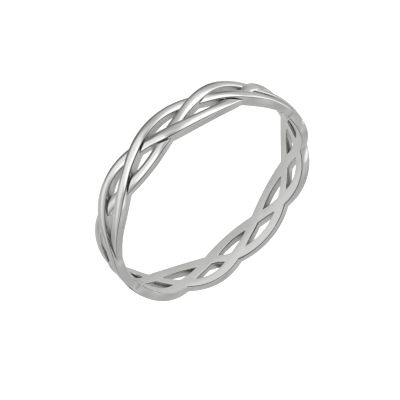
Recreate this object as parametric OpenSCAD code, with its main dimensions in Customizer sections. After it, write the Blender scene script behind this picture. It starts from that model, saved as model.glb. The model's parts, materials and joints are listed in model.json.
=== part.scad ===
// Finger ring cast as a braid. One strand runs three times round the finger, swings between the two
// rims like a wave, and crosses itself in an upper and a lower row of crossings.
// The finger's axis is Z, the lower bumps rest on z = 0, and upper crossing number 0 faces +X.

/* [Band] */
// Inner diameter of the band, a medium ring size
bore_d = 17.3; // [15.7:0.1:19.8]
// Height of the band, from the lowest to the highest bump
band_h = 3.1; // [2.9:0.05:3.4]

/* [Strand] */
// Width of the strand between crossings
strand_w = 0.8; // [0.7:0.01:0.9]
// How much wider the strand is at a crossing, where the casting fills the corners
joint_w = 0.12; // [0:0.01:0.2]
// Height of the upright sides above the bore, where the strand passes under
side_h = 0.53; // [0.4:0.01:0.7]
// Height of the rounded back above the sides
back_h = 0.12; // [0.06:0.01:0.3]
// Rise of the strand from where it passes under to where it passes over
lift_h = 0.24; // [0.1:0.01:0.3]

/* [Hidden] */

// Times that the strand runs round the finger, and bumps that it makes on each rim
turns = 3;
bumps = 10;
// The crossings in order from +X, those of the lower row half a step further on.
// Columns: level of the strand that climbs and of the one that falls (0 under, 1 over, one of them 0),
// degrees round the finger off the even place, mm towards the upper rim off the even place
upper_row = [
    [0, 1, 0, 0], [0, 1, -2, 0], [1, 0, 2, 0], [0, 1, 1.5, 0], [0, 1, -5.5, 0],
    [0, 1, -1.5, 0], [0, 1, 4.5, 0], [1, 0, 2, 0], [1, 0, 4, 0.5], [1, 0, 0, 0]
];
lower_row = [
    [1, 0, 3.5, 0], [1, 0, 2, 0], [1, 0, 2.5, 0], [1, 0, 0, 0], [0.3, 0, 3, 0],
    [1, 0, 1, 0], [1, 0, 1.5, 0], [1, 0, 1, 0], [0, 0.5, 11, -0.45], [1, 0, 0.5, 0]
];
// The four crossings of one wave. Columns: phase, row, whether the strand climbs there, steps along the row
wave_passes = [
    [30, upper_row, true, 0],
    [150, upper_row, false, 1],
    [210, lower_row, false, 1],
    [330, lower_row, true, 2]
];

bore_r = bore_d / 2;
wave_h = (band_h - strand_w) / 2;
// Degrees round the finger for one degree of the wave
turn_rate = turns / bumps;
// Steps of the facets, in degrees of the wave and of the rounded back
wave_step = 12;
back_step = 22.5;
// Each length of strand ends this many degrees of the wave short of the crossing that hides its end
end_gap = 1.5;
// Depth of the strand's foot inside the bore before the bore is cut, and how much it differs between lengths
foot_depth = 0.2;
foot_stagger = 0.01;

function crossing_of(wave, pass) = pass[1][(turns * wave + pass[3]) % bumps];

// Every crossing along the strand, with one wave more than its three turns.
// Columns: phase, level (0 under, 1 over), degrees off the even place, mm off the even place
passes = [for (wave = [0 : bumps], pass = wave_passes)
    let (crossing = crossing_of(wave, pass))
    [360 * wave + pass[0], pass[2] ? crossing[0] : crossing[1], crossing[2], crossing[3]]];
// Phases at which the strand passes under, where one length of it ends and the next begins
dips = [for (pass = passes) if (pass[1] == 0) pass[0]];

// Number of the crossing before phase u, and how far on from it u lies, as a part of the way to the next one
function last_pass(u, i = 0) = u <= passes[i + 1][0] ? i : last_pass(u, i + 1);
function part_way(u, i) = (u - passes[i][0]) / (passes[i + 1][0] - passes[i][0]);
// A column of the table above, blended smoothly from each crossing to the next
function blend(column, u) =
    let (i = last_pass(u), from = passes[i][column], to = passes[i + 1][column])
    from + (to - from) * (1 - cos(180 * part_way(u, i))) / 2;

// The strand at phase u: its level, its width, its middle line's angle round the finger and height above the
// band's middle, and its steepness. The bumps keep to the rims, wherever the crossings beside them lie
function level_at(u) = blend(1, u);
function width_at(u) = strand_w + joint_w * (1 + cos(360 * part_way(u, last_pass(u)))) / 2;
function angle_at(u) = turn_rate * (u - wave_passes[0][0]) + blend(2, u);
function height_at(u) = wave_h * sin(u) + blend(3, u) * pow(cos(u), 2);
function slope_at(u) =
    let (run = bore_r * (angle_at(u + 1) - angle_at(u - 1)) * PI / 180)
    (height_at(u + 1) - height_at(u - 1)) / run;

// A point of the strand: across is its distance from the middle line, r its distance from the axis
function strand_point(u, slope, across, r) =
    let (
        aside = across / sqrt(1 + slope * slope),
        angle = angle_at(u) - aside * slope / bore_r * 180 / PI
    )
    [r * cos(angle), r * sin(angle), band_h / 2 + height_at(u) + aside];

// One cross-section: over the rounded back from side to side, then the two feet inside the bore
function strand_section(u, foot_r) =
    let (
        slope = slope_at(u),
        half_w = width_at(u) / 2,
        side_r = bore_r + side_h + lift_h * level_at(u)
    )
    concat(
        [for (a = [180 : -back_step : 0]) strand_point(u, slope, half_w * cos(a), side_r + back_h * sin(a))],
        [strand_point(u, slope, half_w, foot_r), strand_point(u, slope, -half_w, foot_r)]
    );

// The strand between two phases, closed by a flat end at each
module strand_length(from, to, foot_r) {
    steps = ceil((to - from) / wave_step);
    sections = [for (i = [0 : steps]) strand_section(from + (to - from) * i / steps, foot_r)];
    sides = len(sections[0]);
    walls = [for (i = [0 : steps - 1], j = [0 : sides - 1])
        let (near = i * sides, far = near + sides, k = (j + 1) % sides)
        [near + j, near + k, far + k, far + j]];
    ends = [[for (j = [0 : sides - 1]) sides - 1 - j], [for (j = [0 : sides - 1]) steps * sides + j]];
    polyhedron([for (section = sections) each section], concat(walls, ends), convexity = 8);
}

module knot_band() {
    over = 1;
    color("silver")
    difference() {
        union() {
            for (i = [0 : 2 * bumps - 1]) {
                foot_r = bore_r - foot_depth - foot_stagger * i;
                strand_length(dips[i] + end_gap, dips[i + 1] - end_gap, foot_r);
            }
        }
        translate([0, 0, -over])
            cylinder(r = bore_r, h = band_h + 2 * over, $fn = 180);
    }
}

knot_band();
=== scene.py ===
import json
import math

import bmesh
import bpy
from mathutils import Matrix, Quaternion, Vector


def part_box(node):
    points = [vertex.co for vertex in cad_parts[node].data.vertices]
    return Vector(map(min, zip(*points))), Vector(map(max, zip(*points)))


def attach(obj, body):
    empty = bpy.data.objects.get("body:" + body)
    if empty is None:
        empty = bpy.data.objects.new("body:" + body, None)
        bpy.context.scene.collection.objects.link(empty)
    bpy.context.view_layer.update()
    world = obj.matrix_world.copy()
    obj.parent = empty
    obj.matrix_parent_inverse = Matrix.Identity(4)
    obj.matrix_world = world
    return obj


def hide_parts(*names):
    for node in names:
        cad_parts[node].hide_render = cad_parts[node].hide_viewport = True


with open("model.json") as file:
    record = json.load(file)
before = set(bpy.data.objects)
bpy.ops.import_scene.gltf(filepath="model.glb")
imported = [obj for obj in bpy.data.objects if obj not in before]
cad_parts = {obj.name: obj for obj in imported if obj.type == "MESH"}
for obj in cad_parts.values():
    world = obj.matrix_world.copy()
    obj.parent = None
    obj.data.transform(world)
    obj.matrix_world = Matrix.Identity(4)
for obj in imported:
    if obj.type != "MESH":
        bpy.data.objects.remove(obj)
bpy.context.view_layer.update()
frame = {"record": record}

# The camera. It looks down into the ring from about 36 degrees above its plane, through a long lens, and is
# rolled until the finger's axis points to the picture's lower right, as in the photograph.
# Blender's unit is the metre, and sizes are given in mm.
mm = 0.001
lens = 136
nearest = 10 * mm
farthest = 10000 * mm
aim = Vector((0.568, -0.393, 1.674)) * mm
ring_middle = Vector((0, 0, 1.55)) * mm
camera_distance = 117.9 * mm
camera_azimuth = math.radians(227.88)
camera_elevation = math.radians(35.78)
camera_roll = math.radians(133.8)

camera = bpy.data.objects.new("camera", bpy.data.cameras.new("camera"))
camera.data.lens = lens
camera.data.clip_start = nearest
camera.data.clip_end = farthest
towards_camera = Vector((
    math.cos(camera_elevation) * math.cos(camera_azimuth),
    math.cos(camera_elevation) * math.sin(camera_azimuth),
    math.sin(camera_elevation),
))
camera.location = ring_middle + camera_distance * towards_camera
camera.rotation_mode = "QUATERNION"
level_view = (aim - camera.location).to_track_quat("-Z", "Y")
camera.rotation_quaternion = level_view @ Quaternion((0, 0, 1), camera_roll)
bpy.context.scene.collection.objects.link(camera)
bpy.context.scene.camera = camera

# The braid. The real ring is one silver casting: a single strand runs three times round the finger, swings
# between the two rims like a wave, and crosses itself in an upper and a lower row. Its back is rounded, its
# sides are upright, and its bore side is smooth with softened edges.
low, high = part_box("knot_band")
bore_r = frame["record"]["mounts"][0]["dims"]["r_mm"] * mm
outer_r = max(*high.xy, *-low.xy)
middle_z = (low.z + high.z) / 2
strand_w = 0.8 * mm
joint_w = 0.12 * mm
back_h = 0.12 * mm
lift_h = 0.24 * mm
side_h = outer_r - bore_r - back_h - lift_h
wave_h = (high.z - low.z - strand_w) / 2

turns = 3
bumps = 10
turn_rate = turns / bumps
# The crossings of each row: the level of the climbing strand and of the falling strand, from 0 under to 1
# over, degrees round the finger off the even place, and mm towards the upper rim off the even place.
upper_row = [
    (0, 1, 0, 0), (0, 1, -2, 0), (1, 0, 2, 0), (0, 1, 1.5, 0), (0, 1, -5.5, 0),
    (0, 1, -1.5, 0), (0, 1, 4.5, 0), (1, 0, 2, 0), (1, 0, 4, 0.5), (1, 0, 0, 0),
]
lower_row = [
    (1, 0, 3.5, 0), (1, 0, 2, 0), (1, 0, 2.5, 0), (1, 0, 0, 0), (0.3, 0, 3, 0),
    (1, 0, 1, 0), (1, 0, 1.5, 0), (1, 0, 1, 0), (0, 0.5, 11, -0.45), (1, 0, 0.5, 0),
]
# The four crossings of one wave: phase, row, whether the strand climbs there, steps along the row.
wave_passes = [
    (30, upper_row, True, 0),
    (150, upper_row, False, 1),
    (210, lower_row, False, 1),
    (330, lower_row, True, 2),
]

# Every crossing along the strand, with one wave more than its three turns: phase, level, and degrees and
# height off the even place. The dips are the phases at which the strand passes under.
passes = []
for wave in range(bumps + 1):
    for phase, row, climbs, steps in wave_passes:
        climber, faller, shift, higher = row[(turns * wave + steps) % bumps]
        passes.append((360 * wave + phase, climber if climbs else faller, shift, higher * mm))
dips = [phase for phase, level, *rest in passes if level == 0][:2 * bumps + 1]


def strand_at(phase):
    """The strand's level, its degrees and its height off the even place, and its width."""
    for (start, *before), (end, *after) in zip(passes, passes[1:]):
        if phase <= end:
            part = (phase - start) / (end - start)
            blend = (1 - math.cos(math.pi * part)) / 2
            level, shift, higher = (b + (a - b) * blend for b, a in zip(before, after))
            return level, shift, higher, strand_w + joint_w * (1 + math.cos(2 * math.pi * part)) / 2


def strand_angle(phase):
    """The strand's angle round the finger, in degrees."""
    return turn_rate * (phase - wave_passes[0][0]) + strand_at(phase)[1]


def strand_height(phase):
    """How far the strand's middle line lies above the band's middle. The bumps keep to the rims."""
    off_bump = math.cos(math.radians(phase)) ** 2
    return wave_h * math.sin(math.radians(phase)) + strand_at(phase)[2] * off_bump


def weave(point, start):
    """Where a point of a plainly spun strand, which begins at the phase start, comes to lie in the braid."""
    phase = start + math.degrees(math.atan2(point.y, point.x)) % 360 / turn_rate
    level, *off_place, width = strand_at(phase)
    # The strand's slope, measured over one degree of the wave to either side.
    rise = strand_height(phase + 1) - strand_height(phase - 1)
    slope = rise / (bore_r * math.radians(strand_angle(phase + 1) - strand_angle(phase - 1)))
    aside = point.z * width / strand_w / math.sqrt(1 + slope ** 2)
    angle = math.radians(strand_angle(phase)) - aside * slope / bore_r
    radius = point.to_2d().length
    # Only the back is lifted over a crossing, while the foot stays at the bore.
    if radius > bore_r + side_h / 2:
        radius += lift_h * level
    return Vector((
        radius * math.cos(angle),
        radius * math.sin(angle),
        middle_z + strand_height(phase) + aside,
    ))


def arc(across, height, radius, start, end, steps):
    """Corners of the strand's outline along an arc, as distances across the strand and above the bore."""
    angles = [math.radians(start + (end - start) * i / steps) for i in range(steps + 1)]
    return [(across + radius * math.cos(a), height + radius * math.sin(a)) for a in angles]


# The strand's outline: two rounded shoulders, a flatter crown that meets them crown_angle degrees from its
# top, and two rounded edges at the bore.
shoulder_r = 0.09 * mm
shoulder_steps = 6
crown_angle = 15
crown_steps = 10
bore_edge_r = 0.12 * mm
bore_edge_steps = 4

shoulder_across = strand_w / 2 - shoulder_r
crown_r = shoulder_across / math.sin(math.radians(crown_angle)) + shoulder_r
crown_up = side_h + back_h - crown_r
shoulder_up = crown_up + (crown_r - shoulder_r) * math.cos(math.radians(crown_angle))
edge_across = strand_w / 2 - bore_edge_r
outline = (
    arc(shoulder_across, shoulder_up, shoulder_r, 0, 90 - crown_angle, shoulder_steps)
    + arc(0, crown_up, crown_r, 90 - crown_angle, 90 + crown_angle, crown_steps)[1:-1]
    + arc(-shoulder_across, shoulder_up, shoulder_r, 90 + crown_angle, 180, shoulder_steps)
    + arc(-edge_across, bore_edge_r, bore_edge_r, 180, 270, bore_edge_steps)
    + arc(edge_across, bore_edge_r, bore_edge_r, 270, 360, bore_edge_steps)
)
# Each length's foot lies this much further from the axis than the last one's, so that no two share a face.
foot_stagger = 0.0005 * mm


def mesh_from(bm, name):
    """Turns a finished bmesh into a mesh, and frees it."""
    mesh = bpy.data.meshes.new(name)
    bm.to_mesh(mesh)
    bm.free()
    return mesh


def strand_length(number, start, end):
    """One length of the strand, between two phases."""
    foot = foot_stagger * (number + 1)
    corners = [(bore_r + max(height, foot), 0, across) for across, height in outline]
    bm = bmesh.new()
    bm.faces.new([bm.verts.new(corner) for corner in corners])
    turned = turn_rate * (end - start)
    bmesh.ops.spin(
        bm, geom=bm.verts[:] + bm.edges[:] + bm.faces[:], cent=(0, 0, 0), axis=(0, 0, 1),
        angle=math.radians(turned), steps=round(turned), use_merge=False, use_duplicate=False,
    )
    for vert in bm.verts:
        vert.co = weave(vert.co, start)
    bmesh.ops.recalc_face_normals(bm, faces=bm.faces)
    return bpy.data.objects.new("strand_length", mesh_from(bm, "strand_length"))


# The strand is made in lengths, from one dip to the next. Each ends end_gap degrees of the wave short of the
# crossing that hides its end, and all are cast together. Slivers left along the joints are merged.
end_gap = 1.5
sliver = 0.0004 * mm
sharp_angle = math.radians(35)

lengths = [
    strand_length(number, start + end_gap, end - end_gap)
    for number, (start, end) in enumerate(zip(dips, dips[1:]))
]
casting = bpy.data.collections.new("casting")
for length in lengths[1:]:
    casting.objects.link(length)
bpy.context.scene.collection.children.link(casting)
bpy.context.scene.collection.objects.link(lengths[0])
union = lengths[0].modifiers.new("cast together", "BOOLEAN")
union.operation = "UNION"
union.operand_type = "COLLECTION"
union.collection = casting
union.solver = "EXACT"
cast = bpy.data.meshes.new_from_object(lengths[0].evaluated_get(bpy.context.evaluated_depsgraph_get()))
for length in lengths:
    bpy.data.objects.remove(length)
bpy.data.collections.remove(casting)

bm = bmesh.new()
bm.from_mesh(cast)
bmesh.ops.remove_doubles(bm, verts=bm.verts, dist=sliver)
bmesh.ops.dissolve_degenerate(bm, dist=sliver, edges=bm.edges)
bm.to_mesh(cast)
bm.free()
cast.shade_smooth()
cast.set_sharp_from_angle(angle=sharp_angle)
knot_band = bpy.data.objects.new("knot_band_cast", cast)
bpy.context.scene.collection.objects.link(knot_band)
true_faces = knot_band.modifiers.new("large faces stay true", "WEIGHTED_NORMAL")
true_faces.keep_sharp = True
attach(knot_band, "root")
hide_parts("knot_band")

# The silver. The casting is buffed to a mirror on its backs, rims and bore, but the mop doesn't reach into
# the gaps and the corners beside the crossings, so those keep a duller skin, and painted shade darkens them
# by how closely other metal surrounds them. Hand polishing leaves the faces very slightly wavy, and wear has
# crossed them with fine scratches.
silver_colour = (0.84, 0.835, 0.825, 1)
# The darker colour is painted shade for the pockets.
painted_shade_colour = (0.36, 0.355, 0.346, 1)
# How far other metal is looked for around each place, and how open a place is where the painted shade and
# the dull skin start and are full.
pocket_reach = 1.1 * mm
pocket_samples = 16
shade_and_dull_from = 0.82
shade_and_dull_full = 0.05
pocket_roughness = 0.5
# The polish is a little uneven from patch to patch.
polish_roughness = (0.015, 0.04)
patches_per_mm = 2.2
patch_detail = 4
ripple_h = 0.003 * mm
ripples_per_mm = 1.1
ripple_detail = 1
# The scratches are the thin lines along which a long, leaning noise crosses its middle value.
scratch_lean = (0.4, 0.9, 0.3)
scratch_stretch = (9, 9, 0.7)
scratch_scale = 1.3
scratch_detail = 3
scratch_bend = 0.6
middle_value = 0.5
scratch_width = 0.012
scratch_roughness = 0.1
scratch_h = 0.00025 * mm


def new_material(name):
    """A new material, with its shader."""
    material = bpy.data.materials.new(name)
    material.use_nodes = True
    return material, material.node_tree.nodes["Principled BSDF"]


def feed(tree, node, inputs):
    """Gives each of a node's inputs a plain value, or wires it to another node's output."""
    for socket, given in inputs.items():
        if isinstance(given, bpy.types.NodeSocket):
            tree.links.new(given, node.inputs[socket])
        else:
            node.inputs[socket].default_value = given


def add_node(tree, kind, inputs, **settings):
    """Adds a node with its settings and inputs, and gives back its outputs."""
    node = tree.nodes.new(kind)
    for name, value in settings.items():
        setattr(node, name, value)
    feed(tree, node, inputs)
    return node.outputs


silver, silver_shader = new_material("polished_silver")
tree = silver.node_tree
coordinates = add_node(tree, "ShaderNodeTexCoord", {})
in_mm = add_node(
    tree, "ShaderNodeMapping", {"Vector": coordinates["Object"], "Scale": (1 / mm, 1 / mm, 1 / mm)},
)
# Ambient occlusion measures how closely other metal surrounds each place. It drives the dull skin and the
# painted shade.
pockets = add_node(
    tree, "ShaderNodeAmbientOcclusion", {"Distance": pocket_reach},
    samples=pocket_samples, only_local=True,
)
painted_shade_and_dullness = add_node(
    tree, "ShaderNodeMapRange", {"Value": pockets["AO"], "From Min": shade_and_dull_from, "From Max": shade_and_dull_full},
    interpolation_type="SMOOTHSTEP",
)
patches = add_node(
    tree, "ShaderNodeTexNoise",
    {"Vector": in_mm["Vector"], "Scale": patches_per_mm, "Detail": patch_detail},
)
polish = add_node(
    tree, "ShaderNodeMapRange",
    {"Value": patches["Fac"], "To Min": polish_roughness[0], "To Max": polish_roughness[1]},
)

stretched = add_node(
    tree, "ShaderNodeMapping",
    {"Vector": in_mm["Vector"], "Rotation": scratch_lean, "Scale": scratch_stretch},
)
hairlines = add_node(
    tree, "ShaderNodeTexNoise",
    {
        "Vector": stretched["Vector"],
        "Scale": scratch_scale,
        "Detail": scratch_detail,
        "Distortion": scratch_bend,
    },
)
off_line = add_node(
    tree, "ShaderNodeMath", {0: hairlines["Fac"], 1: middle_value}, operation="SUBTRACT",
)
away = add_node(tree, "ShaderNodeMath", {0: off_line[0]}, operation="ABSOLUTE")
scratches = add_node(
    tree, "ShaderNodeMapRange", {"Value": away[0], "From Min": scratch_width, "From Max": 0},
)

scratched = add_node(
    tree, "ShaderNodeMix",
    {"Factor": scratches["Result"], "A": polish["Result"], "B": scratch_roughness},
)
roughness = add_node(
    tree, "ShaderNodeMix",
    {"Factor": painted_shade_and_dullness["Result"], "A": scratched["Result"], "B": pocket_roughness},
)
# Painted shade: the colour is darkened in the pockets.
colour = add_node(
    tree, "ShaderNodeMix", {"Factor": painted_shade_and_dullness["Result"], "A": silver_colour, "B": painted_shade_colour},
    data_type="RGBA",
)

ripples = add_node(
    tree, "ShaderNodeTexNoise",
    {"Vector": in_mm["Vector"], "Scale": ripples_per_mm, "Detail": ripple_detail},
)
rippled = add_node(tree, "ShaderNodeBump", {"Distance": ripple_h, "Height": ripples["Fac"]})
scored = add_node(
    tree, "ShaderNodeBump",
    {"Distance": scratch_h, "Height": scratches["Result"], "Normal": rippled["Normal"]},
    invert=True,
)
feed(tree, silver_shader, {
    "Metallic": 1,
    "Base Color": colour["Result"],
    "Roughness": roughness["Result"],
    "Normal": scored["Normal"],
})
knot_band.data.materials.clear()
knot_band.data.materials.append(silver)

# The floor. It is a plain white board that the ring lies on, lit so brightly that it looks evenly white and
# the ring's own shadow on it is washed out. The metal doesn't mirror it.
floor_reach = 0.6
board_colour = (0.9, 0.9, 0.9, 1)
board_light = (1, 1, 1, 1)

bm = bmesh.new()
bmesh.ops.create_grid(bm, x_segments=1, y_segments=1, size=floor_reach)
floor = bpy.data.objects.new("floor", mesh_from(bm, "floor"))
floor.visible_glossy = False
bpy.context.scene.collection.objects.link(floor)
board, board_shader = new_material("white_board")
feed(board.node_tree, board_shader, {
    "Base Color": board_colour,
    "Roughness": 1,
    "Emission Color": board_light,
    "Emission Strength": 1,
})
floor.data.materials.append(board)

# The mirror card. A round card in the finger hole glows a soft grey, so that the bore mirrors its greys
# instead of the studio: a painted reflection. Its glow is paler towards its middle, faintly cloudy, and
# shows only in the metal.
mirror_card_r = bore_r - 0.05 * mm
mirror_card_h = 0.02 * mm
mirror_card_sides = 64
pale_r = 4.2 * mm
rim_grey = 0.53
pale_grey = 0.8
clouds_per_mm = 0.45
cloud_detail = 2
cloud_depth = 0.1

bm = bmesh.new()
bmesh.ops.create_circle(bm, cap_ends=True, segments=mirror_card_sides, radius=mirror_card_r)
bmesh.ops.translate(bm, verts=bm.verts, vec=(0, 0, mirror_card_h))
mirror_card = bpy.data.objects.new("mirror_card", mesh_from(bm, "mirror_card"))
mirror_card.visible_camera = False
mirror_card.visible_diffuse = False
mirror_card.visible_shadow = False
bpy.context.scene.collection.objects.link(mirror_card)

# The card's grey is emission only, a painted reflection for the bore.
reflection_card, reflection_card_shader = new_material("glowing_reflection_card")
tree = reflection_card.node_tree
coordinates = add_node(tree, "ShaderNodeTexCoord", {})
from_axis = add_node(tree, "ShaderNodeVectorMath", {0: coordinates["Object"]}, operation="LENGTH")
fading = add_node(
    tree, "ShaderNodeMapRange",
    {
        "Value": from_axis["Value"],
        "From Min": pale_r,
        "From Max": mirror_card_r,
        "To Min": pale_grey,
        "To Max": rim_grey,
    },
)
clouds = add_node(
    tree, "ShaderNodeTexNoise",
    {"Vector": coordinates["Object"], "Scale": clouds_per_mm / mm, "Detail": cloud_detail},
)
cloud_grey = add_node(
    tree, "ShaderNodeMapRange",
    {"Value": clouds["Fac"], "To Min": -cloud_depth, "To Max": cloud_depth},
)
reflection_grey = add_node(
    tree, "ShaderNodeMath", {0: fading["Result"], 1: cloud_grey["Result"]}, operation="ADD",
)
feed(tree, reflection_card_shader, {
    "Base Color": (0, 0, 0, 1),
    "Specular IOR Level": 0,
    "Emission Color": reflection_grey[0],
    "Emission Strength": 1,
})
mirror_card.data.materials.append(reflection_card)

# The studio. A tent of grey cloth in soft folds surrounds the ring. Two soft panels light it from the side,
# and further cards, white and dark, draw the bright and dark lines along the strands.
tent_grey = 0.54
fold_scale = 2.5
fold_detail = 1
fold_depth = 0.25
# Each card: what it is, degrees from the camera's azimuth, elevation, half its width and height in degrees,
# how soft its edge is, and how bright it is. A later card covers an earlier one.
cards = [
    ("dark card below", -30, -77, 48, 24, 0.25, 0.2),
    ("front panel", -57, -2, 40, 32, 0.3, 1.25),
    ("side panel", -114, -2, 38, 24, 0.2, 1.2),
    ("white card in front", 18, -20, 20, 22, 0.3, 1.25),
    ("pale card low in front", 36, -38, 44, 12, 0.5, 0.9),
    ("dark card above", 65, 48, 78, 30, 0.15, 0.12),
    ("black card above", -40, 50, 88, 27, 0.1, 0.03),
    ("small white card behind", -153, 55, 6, 5, 0.4, 1.05),
]

# One card, as a group of nodes. It turns a direction until the card lies straight ahead, measures how far
# that is from the card's middle, and covers what is under the card with its brightness.
card_group = bpy.data.node_groups.new("studio card", "ShaderNodeTree")
card_group.interface.new_socket("Direction", in_out="INPUT", socket_type="NodeSocketVector")
for name in [
    "Under", "Azimuth", "Elevation", "Half Width", "Half Height", "Inner Edge", "Outer Edge", "Brightness",
]:
    card_group.interface.new_socket(name, in_out="INPUT", socket_type="NodeSocketFloat")
card_group.interface.new_socket("Brightness", in_out="OUTPUT", socket_type="NodeSocketFloat")

given = add_node(card_group, "NodeGroupInput", {})
turn_back = add_node(card_group, "ShaderNodeMath", {0: given["Azimuth"], 1: -1}, operation="MULTIPLY")
faced = add_node(
    card_group, "ShaderNodeVectorRotate", {"Vector": given["Direction"], "Angle": turn_back[0]},
    rotation_type="Z_AXIS",
)
levelled = add_node(
    card_group, "ShaderNodeVectorRotate", {"Vector": faced[0], "Angle": given["Elevation"]},
    rotation_type="Y_AXIS",
)
xyz = add_node(card_group, "ShaderNodeSeparateXYZ", {0: levelled[0]})
sideways = add_node(card_group, "ShaderNodeMath", {0: xyz["Y"], 1: xyz["X"]}, operation="ARCTAN2")
upwards = add_node(card_group, "ShaderNodeMath", {0: xyz["Z"], 1: xyz["X"]}, operation="ARCTAN2")
across = add_node(
    card_group, "ShaderNodeMath", {0: sideways[0], 1: given["Half Width"]}, operation="DIVIDE",
)
up = add_node(
    card_group, "ShaderNodeMath", {0: upwards[0], 1: given["Half Height"]}, operation="DIVIDE",
)
on_card = add_node(card_group, "ShaderNodeCombineXYZ", {0: across[0], 1: up[0]})
from_middle = add_node(card_group, "ShaderNodeVectorMath", {0: on_card[0]}, operation="LENGTH")
covered = add_node(
    card_group, "ShaderNodeMapRange",
    {"Value": from_middle["Value"], "From Min": given["Outer Edge"], "From Max": given["Inner Edge"]},
    interpolation_type="SMOOTHSTEP",
)
mixed = add_node(
    card_group, "ShaderNodeMix",
    {"Factor": covered["Result"], "A": given["Under"], "B": given["Brightness"]},
)
add_node(card_group, "NodeGroupOutput", {0: mixed["Result"]})

studio = bpy.data.worlds.new("studio")
studio.use_nodes = True
tree = studio.node_tree
directions = add_node(tree, "ShaderNodeTexCoord", {})["Generated"]
folds = add_node(
    tree, "ShaderNodeTexNoise", {"Vector": directions, "Scale": fold_scale, "Detail": fold_detail},
)
cloth = add_node(
    tree, "ShaderNodeMapRange",
    {"Value": folds["Fac"], "To Min": tent_grey - fold_depth, "To Max": tent_grey + fold_depth},
)
brightness = cloth["Result"]
for name, azimuth, elevation, half_width, half_height, softness, level in cards:
    card = add_node(
        tree, "ShaderNodeGroup",
        {
            "Direction": directions,
            "Under": brightness,
            "Azimuth": camera_azimuth + math.radians(azimuth),
            "Elevation": math.radians(elevation),
            "Half Width": math.radians(half_width),
            "Half Height": math.radians(half_height),
            "Inner Edge": 1 - softness,
            "Outer Edge": 1 + softness,
            "Brightness": level,
        },
        node_tree=card_group, label=name,
    )
    brightness = card["Brightness"]

# The camera itself sees plain white behind the ring.
tent = tree.nodes["Background"]
feed(tree, tent, {"Color": brightness})
backdrop = add_node(tree, "ShaderNodeBackground", {"Color": (1, 1, 1, 1)})
seen = add_node(tree, "ShaderNodeLightPath", {})
either = add_node(
    tree, "ShaderNodeMixShader",
    {"Fac": seen["Is Camera Ray"], 1: tent.outputs["Background"], 2: backdrop["Background"]},
)
feed(tree, tree.nodes["World Output"], {"Surface": either["Shader"]})
bpy.context.scene.world = studio
bpy.context.scene.view_settings.view_transform = "Standard"
